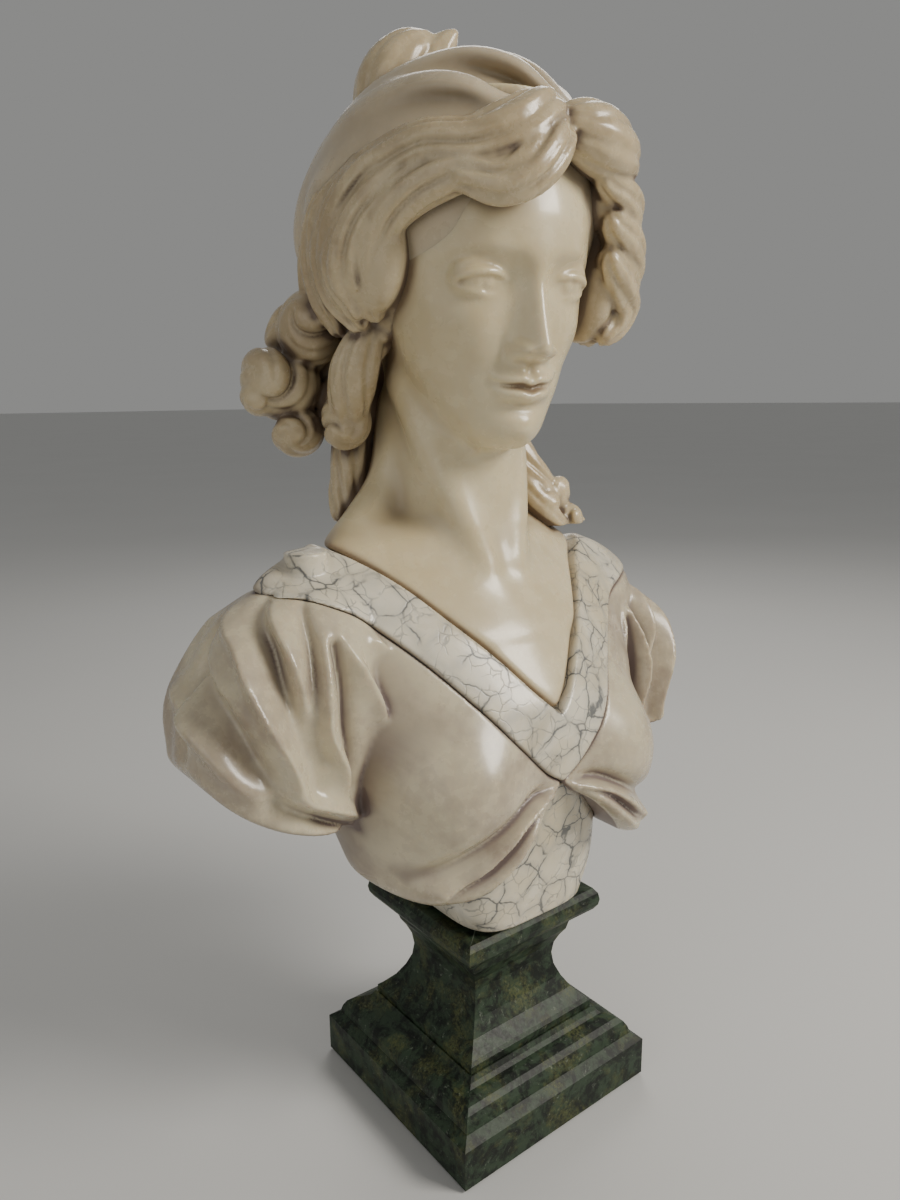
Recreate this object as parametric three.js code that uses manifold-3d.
// A carved stone bust that turns on a square moulded socle.
// Millimetres, +Z up, the figure looks along -Y, origin at the middle of the socle's underside.
import * as THREE from "three";
import { mergeVertices } from "three/addons/utils/BufferGeometryUtils.js";
import Module from "manifold-3d";

const wasm = await Module();
wasm.setup();

// ---- driving dimensions -------------------------------------------------------------------
const GAP = 0.3; // between pieces that touch
const PLINTH_HALF = 70; // half the side of the square slab
const FELT_THICK = 1.2;
const SLAB_TOP = 25; // top of the slab's upright face
const LEDGE_TOP = 29; // top of its sloped ledge
const LEDGE_HALF = 64.5;
const STEP_TOP = 46; // top of the ogee course
const FILLET_HALF = 47;
const CAP_TOP = 125.5;
const CAP_HALF = 50;
const DISC_RADIUS = 34;
const FOOT_BOTTOM = 128; // underside of the bust
const WAIST_TOP = 205;
const CHEST_BOTTOM = WAIST_TOP + GAP;

const ROD_RADIUS = 5;
const ROD_BOTTOM = 5;
const ROD_TOP = 258;
const BORE_RADIUS = 6.2;
const RECESS_RADIUS = 17;
const RECESS_TOP = 19;
const WASHER_RADIUS = 15;
const WASHER_THICK = 2.5;
const NUT_RADIUS = 9.8; // over its corners
const NUT_THICK = 8;
const ANCHOR_RADIUS = 12;
const ANCHOR_TOP = 262;
const ROUND_SIDES = 16;

// the core of the chest block, which the collar and bodice close round
const CORE_HALF = 50;
const CORE_FRONT = -28;
const CORE_BACK = 46;
const CORE_TOP = 284;

// the neckline and the collar's outer edge, seen from the front: a V that runs over the shoulder
const NECKLINE_TIP = 253;
const NECKLINE_TURN = [69, 324];
const COLLAR_TIP = 214;
const COLLAR_TURN = [102, 310];
const COLLAR_END = [150, 338];
const NECKLINE_END = [92, 372];
const BACK_COLLAR_LOW = 286; // the collar's lower edge behind, on the middle line
const BACK_NECKLINE = 317;
const SHOULDER_LINE_Y = 26; // where the front of the collar passes into its back
const SKY = 420; // a height above the whole collar

// the sleeve's cut underside rises outwards
const SLEEVE_CUT_X = 100;
const SLEEVE_CUT_Z = 197;
const SLEEVE_CUT_SLOPE = 0.62;

// ---- helpers ------------------------------------------------------------------------------
function solidFrom(geometry) {
  const bare = geometry.clone();
  bare.deleteAttribute("normal");
  bare.deleteAttribute("uv");
  const merged = mergeVertices(bare, 1e-3);
  return new wasm.Manifold(
    new wasm.Mesh({
      numProp: 3,
      vertProperties: new Float32Array(merged.attributes.position.array),
      triVerts: new Uint32Array(merged.index.array),
    }),
  );
}

function geometryFrom(solid) {
  const mesh = solid.getMesh();
  const geometry = new THREE.BufferGeometry();
  geometry.setAttribute("position", new THREE.BufferAttribute(new Float32Array(mesh.vertProperties), 3));
  geometry.setIndex(new THREE.BufferAttribute(new Uint32Array(mesh.triVerts), 1));
  return geometry;
}

function joined(solids) {
  return solids.reduce((whole, solid) => whole.add(solid));
}

function box(low, high) {
  const size = high.map((value, i) => value - low[i]);
  const geometry = new THREE.BoxGeometry(size[0], size[1], size[2]);
  geometry.translate((low[0] + high[0]) / 2, (low[1] + high[1]) / 2, (low[2] + high[2]) / 2);
  return solidFrom(geometry);
}

function upright(radius, bottom, top, x = 0, y = 0, sides = ROUND_SIDES) {
  const geometry = new THREE.CylinderGeometry(radius, radius, top - bottom, sides);
  geometry.rotateX(Math.PI / 2);
  geometry.translate(x, y, (bottom + top) / 2);
  return solidFrom(geometry);
}

function level(radius, xStart, xEnd, y, z, sides = 12) {
  const geometry = new THREE.CylinderGeometry(radius, radius, Math.abs(xEnd - xStart), sides);
  geometry.rotateZ(Math.PI / 2);
  geometry.translate((xStart + xEnd) / 2, y, z);
  return solidFrom(geometry);
}

// An egg: centre, three radii, and a nod about X in degrees (positive lowers the front).
function egg(centre, radii, nod = 0, around = 14, down = 8) {
  const geometry = new THREE.SphereGeometry(1, around, down);
  geometry.rotateX(Math.PI / 2);
  geometry.scale(radii[0], radii[1], radii[2]);
  geometry.rotateX(THREE.MathUtils.degToRad(nod));
  geometry.translate(centre[0], centre[1], centre[2]);
  return solidFrom(geometry);
}

// A prism along Y whose outline is drawn in X and Z.
function frontPrism(outline, yFront, yBack) {
  const shape = new THREE.Shape(outline.map(([x, z]) => new THREE.Vector2(x, z)));
  const geometry = new THREE.ExtrudeGeometry(shape, { depth: yBack - yFront, bevelEnabled: false });
  geometry.rotateX(Math.PI / 2);
  geometry.translate(0, yBack, 0);
  return solidFrom(geometry);
}

// A stack of rounded sections: each is [z, half width, front y, back y, squareness].
function stack(sections, around = 24) {
  const positions = [];
  const index = [];
  for (const [z, half, front, back, power] of sections) {
    for (let i = 0; i < around; i += 1) {
      const angle = (2 * Math.PI * i) / around;
      const c = Math.cos(angle);
      const s = Math.sin(angle);
      const x = half * Math.sign(c) * Math.abs(c) ** (2 / power);
      const y = (front + back) / 2 + ((back - front) / 2) * Math.sign(s) * Math.abs(s) ** (2 / power);
      positions.push(x, y, z);
    }
  }
  for (let row = 0; row + 1 < sections.length; row += 1) {
    for (let i = 0; i < around; i += 1) {
      const a = row * around + i;
      const b = row * around + ((i + 1) % around);
      index.push(a, b, b + around, a, b + around, a + around);
    }
  }
  const last = (sections.length - 1) * around;
  for (let i = 1; i + 1 < around; i += 1) {
    index.push(0, i + 1, i, last, last + i, last + i + 1);
  }
  const geometry = new THREE.BufferGeometry();
  geometry.setAttribute("position", new THREE.BufferAttribute(new Float32Array(positions), 3));
  geometry.setIndex(index);
  return solidFrom(geometry);
}

// A square moulding turned on four sides from a profile of [half side, z], closed at the axis.
function squareTurned(profile) {
  const points = profile.map(([half, z]) => new THREE.Vector2(half * Math.SQRT2, z));
  points.unshift(new THREE.Vector2(0, profile[0][1]));
  points.push(new THREE.Vector2(0, profile.at(-1)[1]));
  const geometry = new THREE.LatheGeometry(points, 4);
  geometry.rotateX(Math.PI / 2);
  geometry.rotateZ(Math.PI / 4);
  return solidFrom(geometry);
}

function curvePoints(start, end, bulge, steps) {
  // a stretch of profile that leaves the straight line by a sine-shaped bulge
  const points = [];
  for (let i = 0; i <= steps; i += 1) {
    const t = i / steps;
    const swell = bulge * Math.sin(Math.PI * t);
    const along = [end[0] - start[0], end[1] - start[1]];
    const length = Math.hypot(along[0], along[1]);
    points.push([
      start[0] + along[0] * t + (along[1] / length) * swell,
      start[1] + along[1] * t - (along[0] / length) * swell,
    ]);
  }
  return points;
}

// ---- the socle ----------------------------------------------------------------------------
const slabBottom = FELT_THICK + GAP;
const bore = upright(BORE_RADIUS, -1, CAP_TOP + 1);

function makePlinth() {
  const slab = squareTurned([
    [PLINTH_HALF, slabBottom],
    [PLINTH_HALF, SLAB_TOP],
    [LEDGE_HALF, LEDGE_TOP],
  ]);
  return slab.subtract(bore).subtract(upright(RECESS_RADIUS, -1, RECESS_TOP, 0, 0, 24));
}

function makeStep() {
  const middle = [(LEDGE_HALF + FILLET_HALF) / 2 - 1, (LEDGE_TOP + STEP_TOP) / 2 + 3];
  const profile = [
    ...curvePoints([LEDGE_HALF, LEDGE_TOP + GAP], middle, 2.4, 4),
    ...curvePoints(middle, [FILLET_HALF + 1, STEP_TOP - GAP], -1.2, 3).slice(1),
  ];
  return squareTurned(profile).subtract(bore);
}

function makeNeck() {
  const profile = [
    [FILLET_HALF, STEP_TOP],
    [FILLET_HALF, STEP_TOP + 4],
    [45, 51.5],
    [38.5, 58.5],
    [34, 66],
    [31, 73.5],
    [30, 81],
    [31, 88],
    [33.4, 93.5],
    [36, 97.5],
    [36.8, 101],
    [37.8, 105],
    [42.5, 109],
    [47.5, 112],
    [CAP_HALF - 0.6, 115],
    [CAP_HALF, 118.5],
    [CAP_HALF - 0.8, 122.5],
    [CAP_HALF - 3, CAP_TOP],
  ];
  return squareTurned(profile).subtract(bore);
}

function makeFelt() {
  return box([-PLINTH_HALF + 2, -PLINTH_HALF + 2, 0], [PLINTH_HALF - 2, PLINTH_HALF - 2, FELT_THICK]);
}

function makeDisc() {
  const disc = upright(DISC_RADIUS, CAP_TOP + GAP, FOOT_BOTTOM - GAP, 0, 0, 32);
  return disc.subtract(upright(BORE_RADIUS, CAP_TOP - 1, FOOT_BOTTOM + 1));
}

// ---- the iron that ties the stack together ------------------------------------------------
const washerTop = RECESS_TOP - GAP;
const nutTop = washerTop - WASHER_THICK - GAP;

function makeWasher() {
  const washer = upright(WASHER_RADIUS, washerTop - WASHER_THICK, washerTop, 0, 0, 24);
  return washer.subtract(upright(BORE_RADIUS, 0, RECESS_TOP));
}

function makeNut() {
  const nut = upright(NUT_RADIUS, nutTop - NUT_THICK, nutTop, 0, 0, 6);
  return nut.subtract(upright(ROD_RADIUS + GAP, 0, RECESS_TOP));
}

function makeAnchor() {
  const anchor = upright(ANCHOR_RADIUS, CHEST_BOTTOM, ANCHOR_TOP, 0, 0, 20);
  return anchor.subtract(upright(ROD_RADIUS + GAP, WAIST_TOP, ROD_TOP + GAP));
}

// ---- the figure's masses ------------------------------------------------------------------
function bothSides(centre, radii, nod = 0, around = 16, down = 10) {
  return [1, -1].map((side) => egg([side * centre[0], centre[1], centre[2]], radii, nod, around, down));
}

function makeTorso() {
  const masses = joined([
    stack([
      [150, 60, -22, 54, 2.2],
      [166, 80, -40, 61, 2.2],
      [186, 93, -54, 66, 2.2],
      [208, 99, -63, 69, 2.2],
      [232, 104, -68, 71, 2.2],
      [252, 109, -67, 70, 2.2],
      [270, 113, -57, 69, 2.2],
      [290, 116, -45, 66, 2.2],
      [306, 112, -32, 62, 2.2],
      [317, 100, -20, 57, 2.2],
      [327, 74, -8, 52, 2.2],
    ]),
    ...bothSides([46, -27, 210], [46, 44, 45]),
    ...bothSides([44, -12, 188], [52, 46, 41]),
    ...bothSides([100, 24, 286], [46, 38, 38]),
  ]);
  const sleeves = joined(bothSides([128, 14, 257], [49, 48, 66], 0, 16, 12));
  const cuts = [1, -1].map((side) => {
    const reach = 130;
    const low = SLEEVE_CUT_Z - 60;
    const outline = [
      [side * SLEEVE_CUT_X * 0.5, SLEEVE_CUT_Z - SLEEVE_CUT_SLOPE * SLEEVE_CUT_X * 0.5],
      [side * (SLEEVE_CUT_X + reach), SLEEVE_CUT_Z + SLEEVE_CUT_SLOPE * reach],
      [side * (SLEEVE_CUT_X + reach), low],
      [side * SLEEVE_CUT_X * 0.5, low],
    ];
    return frontPrism(side > 0 ? outline.toReversed() : outline, -100, 120);
  });
  const lifted = cuts.reduce((whole, cut) => whole.subtract(cut), sleeves);
  return masses.add(lifted);
}

function makeWaistMass(grow) {
  return stack([
    [FOOT_BOTTOM, 43 + grow, -54 - grow, 38 + grow, 2.9],
    [140, 52 + grow, -56 - grow, 40 + grow, 2.8],
    [158, 61 + grow, -59 - grow, 43 + grow, 2.6],
    [182, 63 + grow, -64 - grow, 45 + grow, 2.5],
    [WAIST_TOP + grow, 60 + grow, -66 - grow, 46 + grow, 2.5],
  ]);
}

// Edges as seen from the front or the back, from the right shoulder's end to the left one's.
function bothWays(halfEdge) {
  const mirrored = halfEdge.slice(1).toReversed().map(([x, z]) => [-x, z]);
  return [...mirrored, ...halfEdge];
}

const collarEdge = {
  front: bothWays([[0, COLLAR_TIP], COLLAR_TURN, COLLAR_END]),
  back: bothWays([[0, BACK_COLLAR_LOW], [58, 292], COLLAR_TURN, COLLAR_END]),
};
const neckline = {
  front: bothWays([[0, NECKLINE_TIP], NECKLINE_TURN, NECKLINE_END]),
  back: bothWays([[0, BACK_NECKLINE], [38, 320], [69, 330], NECKLINE_END]),
};

// Everything above an edge; lift moves the edge up to leave a joint.
function above(edge, lift = 0) {
  const outline = (points) => {
    const raised = points.map(([x, z]) => [x, z + lift]);
    return [...raised, [points.at(-1)[0], SKY], [points[0][0], SKY]];
  };
  return joined([
    frontPrism(outline(edge.front), -110, SHOULDER_LINE_Y),
    frontPrism(outline(edge.back), SHOULDER_LINE_Y, 130),
  ]);
}

function makeCore(grow) {
  return box(
    [-CORE_HALF - grow, CORE_FRONT - grow, CHEST_BOTTOM - grow],
    [CORE_HALF + grow, CORE_BACK + grow, CORE_TOP + grow],
  );
}

// ---- the head -----------------------------------------------------------------------------
function makeNeckAndHead() {
  const neck = stack(
    [
      [300, 84, -24, 62, 2],
      [322, 66, -16, 60, 2],
      [336, 52, -11, 60, 2],
      [352, 43, -12, 60, 2],
      [374, 40, -17, 60, 2],
      [402, 42, -22, 62, 2],
      [440, 46, -26, 66, 2],
    ],
    18,
  );
  const head = joined([
    egg([0, 14, 496], [66, 78, 70], 0, 18, 12),
    egg([0, -12, 458], [53, 54, 68], 8, 16, 12),
    egg([0, -42, 408], [20, 20, 18], 0, 10, 8),
    egg([0, -66, 452], [8.5, 12, 22], -12, 10, 8),
  ]);
  return neck.add(head);
}

function makeKerchiefAndBun() {
  return joined([
    egg([0, 26, 512], [74, 82, 66], 22, 18, 12),
    egg([-30, 84, 484], [42, 32, 50], 20, 12, 8),
    egg([24, 80, 486], [42, 32, 48], 20, 12, 8),
    egg([-10, 56, 572], [26, 30, 34], -20, 12, 8),
    egg([6, 36, 578], [16, 18, 18], 0, 8, 6),
  ]);
}

// Rolls of hair over the brow and the ears; sizes differ a little from side to side.
function makeHair() {
  return joined([
    egg([-26, -52, 516], [28, 20, 18], 0, 12, 8),
    egg([30, -48, 516], [30, 24, 20], 0, 12, 8),
    egg([-60, -14, 492], [22, 34, 32], 0, 12, 8),
    egg([-70, 20, 462], [20, 34, 40], 0, 12, 8),
    egg([60, -20, 486], [22, 28, 24], 0, 12, 8),
    egg([66, -12, 456], [20, 24, 26], 0, 12, 8),
    egg([66, 12, 430], [20, 28, 24], 0, 12, 8),
    egg([60, 44, 452], [30, 36, 40], 0, 12, 8),
  ]);
}

// Bunches of curls at the nape, with one lock down each side of the neck.
function makeCurls() {
  const curls = [
    [-70, 46, 446, 24],
    [-88, 68, 426, 24],
    [-96, 84, 408, 20],
    [-66, 66, 412, 24],
    [-62, 88, 432, 26],
    [-30, 92, 426, 28],
    [4, 94, 428, 28],
    [38, 88, 430, 28],
    [62, 66, 424, 24],
  ];
  const locks = [
    [-50, 66, 384, 13, 26],
    [-44, 68, 352, 12, 22],
    [46, 58, 380, 14, 30],
    [58, 40, 348, 14, 20],
    [74, 22, 334, 14, 14],
  ];
  return joined([
    ...curls.map(([x, y, z, r]) => egg([x, y, z], [r, r, r], 0, 10, 6)),
    ...locks.map(([x, y, z, r, tall]) => egg([x, y, z], [r, r, tall], 0, 8, 6)),
  ]);
}

// ---- putting the bust together ------------------------------------------------------------
const torso = makeTorso();
const boreThroughBust = upright(BORE_RADIUS, FOOT_BOTTOM - 1, WAIST_TOP + 1);
const WAIST_DOWEL = { radius: 3, x: 30, y: 20, bottom: 182, top: 230 };
const BODICE_DOWEL = { radius: 3, inner: 34, outer: 68, spots: { front: [-14, 240], back: [26, 262] } };
const COLLAR_PIN = { radius: 2, x: 80, y: 24, bottom: 274, top: 312 };

function waistDowel(side, grow = 0) {
  const { radius, x, y, bottom, top } = WAIST_DOWEL;
  return upright(radius + grow, bottom - grow, top + grow, side * x, y, 12);
}

function bodiceDowel(side, spot, grow = 0) {
  const { radius, inner, outer, spots } = BODICE_DOWEL;
  const [y, z] = spots[spot];
  return level(radius + grow, side * (inner - grow), side * (outer + grow), y, z);
}

function collarPin(side, grow = 0) {
  const { radius, x, y, bottom, top } = COLLAR_PIN;
  return upright(radius + grow, bottom - grow, top + grow, side * x, y, 10);
}

const sides = { right: -1, left: 1 }; // the figure's own right is towards -X
const everyHole = joined(
  Object.values(sides).flatMap((side) => [
    waistDowel(side, GAP),
    bodiceDowel(side, "front", GAP),
    bodiceDowel(side, "back", GAP),
    collarPin(side, GAP),
  ]),
);

function makeWaist() {
  return makeWaistMass(0).subtract(boreThroughBust).subtract(everyHole);
}

function makeCollar() {
  return torso
    .intersect(above(collarEdge))
    .subtract(above(neckline))
    .subtract(makeCore(GAP))
    .subtract(makeWaistMass(GAP))
    .subtract(everyHole);
}

function makeBodice(side) {
  const near = GAP / 2;
  const half = side > 0 ? box([near, -120, 100], [200, 140, 380]) : box([-200, -120, 100], [-near, 140, 380]);
  return torso
    .intersect(half)
    .subtract(above(collarEdge, -2 * GAP))
    .subtract(makeCore(GAP))
    .subtract(makeWaistMass(GAP))
    .subtract(everyHole);
}

// The torso a little fuller all round, so that what lies on the dress keeps a joint to it.
function fuller(mass) {
  const middle = [0, 15, 250];
  const growth = [1.004, 1.01, 1.006];
  return mass.translate(middle.map((value) => -value)).scale(growth).translate(middle);
}

function makeHeadAndChest() {
  const window = above(neckline, 2 * GAP);
  const chest = torso.intersect(window).add(makeCore(0));
  const outside = joined([makeHair(), makeCurls(), makeKerchiefAndBun(), makeNeckAndHead()]);
  const dress = fuller(torso).subtract(window);
  const anchorHole = upright(ANCHOR_RADIUS + GAP, WAIST_TOP - 1, ANCHOR_TOP + GAP, 0, 0, 20);
  return outside.subtract(dress).add(chest).subtract(anchorHole).subtract(everyHole);
}

// ---- colours ------------------------------------------------------------------------------
const HONEY = { color: 0xd9cdb6, roughness: 0.32, metalness: 0 };
const GREY_STONE = { color: 0xcbbfae, roughness: 0.28, metalness: 0 };
const VEINED = { color: 0xd6d0c2, roughness: 0.3, metalness: 0 };
const GREEN_STONE = { color: 0x2d3a2e, roughness: 0.25, metalness: 0 };
const IRON = { color: 0x4a4643, roughness: 0.55, metalness: 0.8 };
const BRASS = { color: 0xa8873f, roughness: 0.4, metalness: 0.9 };
const LEAD = { color: 0x6d6f73, roughness: 0.6, metalness: 0.6 };
const LEATHER = { color: 0x3a2a1e, roughness: 0.75, metalness: 0 };
const BAIZE = { color: 0x29402d, roughness: 0.95, metalness: 0 };

const group = new THREE.Group();

function place(name, solid, look) {
  const mesh = new THREE.Mesh(geometryFrom(solid), new THREE.MeshStandardMaterial(look));
  mesh.name = name;
  group.add(mesh);
}

place("base_felt", makeFelt(), BAIZE);
place("socle_plinth", makePlinth(), GREEN_STONE);
place("socle_step", makeStep(), GREEN_STONE);
place("socle_neck", makeNeck(), GREEN_STONE);
place("turning_disc", makeDisc(), LEATHER);
place("rod_washer", makeWasher(), IRON);
place("rod_nut", makeNut(), IRON);
place("centre_rod", upright(ROD_RADIUS, ROD_BOTTOM, ROD_TOP), IRON);
place("rod_anchor", makeAnchor(), LEAD);
place("waist_block", makeWaist(), VEINED);
place("collar", makeCollar(), VEINED);
place("head_and_chest", makeHeadAndChest(), HONEY);
for (const [word, side] of Object.entries(sides)) {
  place(`bodice_${word}`, makeBodice(side), GREY_STONE);
  place(`waist_dowel_${word}`, waistDowel(side), IRON);
  place(`collar_pin_${word}`, collarPin(side), BRASS);
  for (const spot of Object.keys(BODICE_DOWEL.spots)) {
    place(`bodice_dowel_${word}_${spot}`, bodiceDowel(side, spot), IRON);
  }
}

export default group;
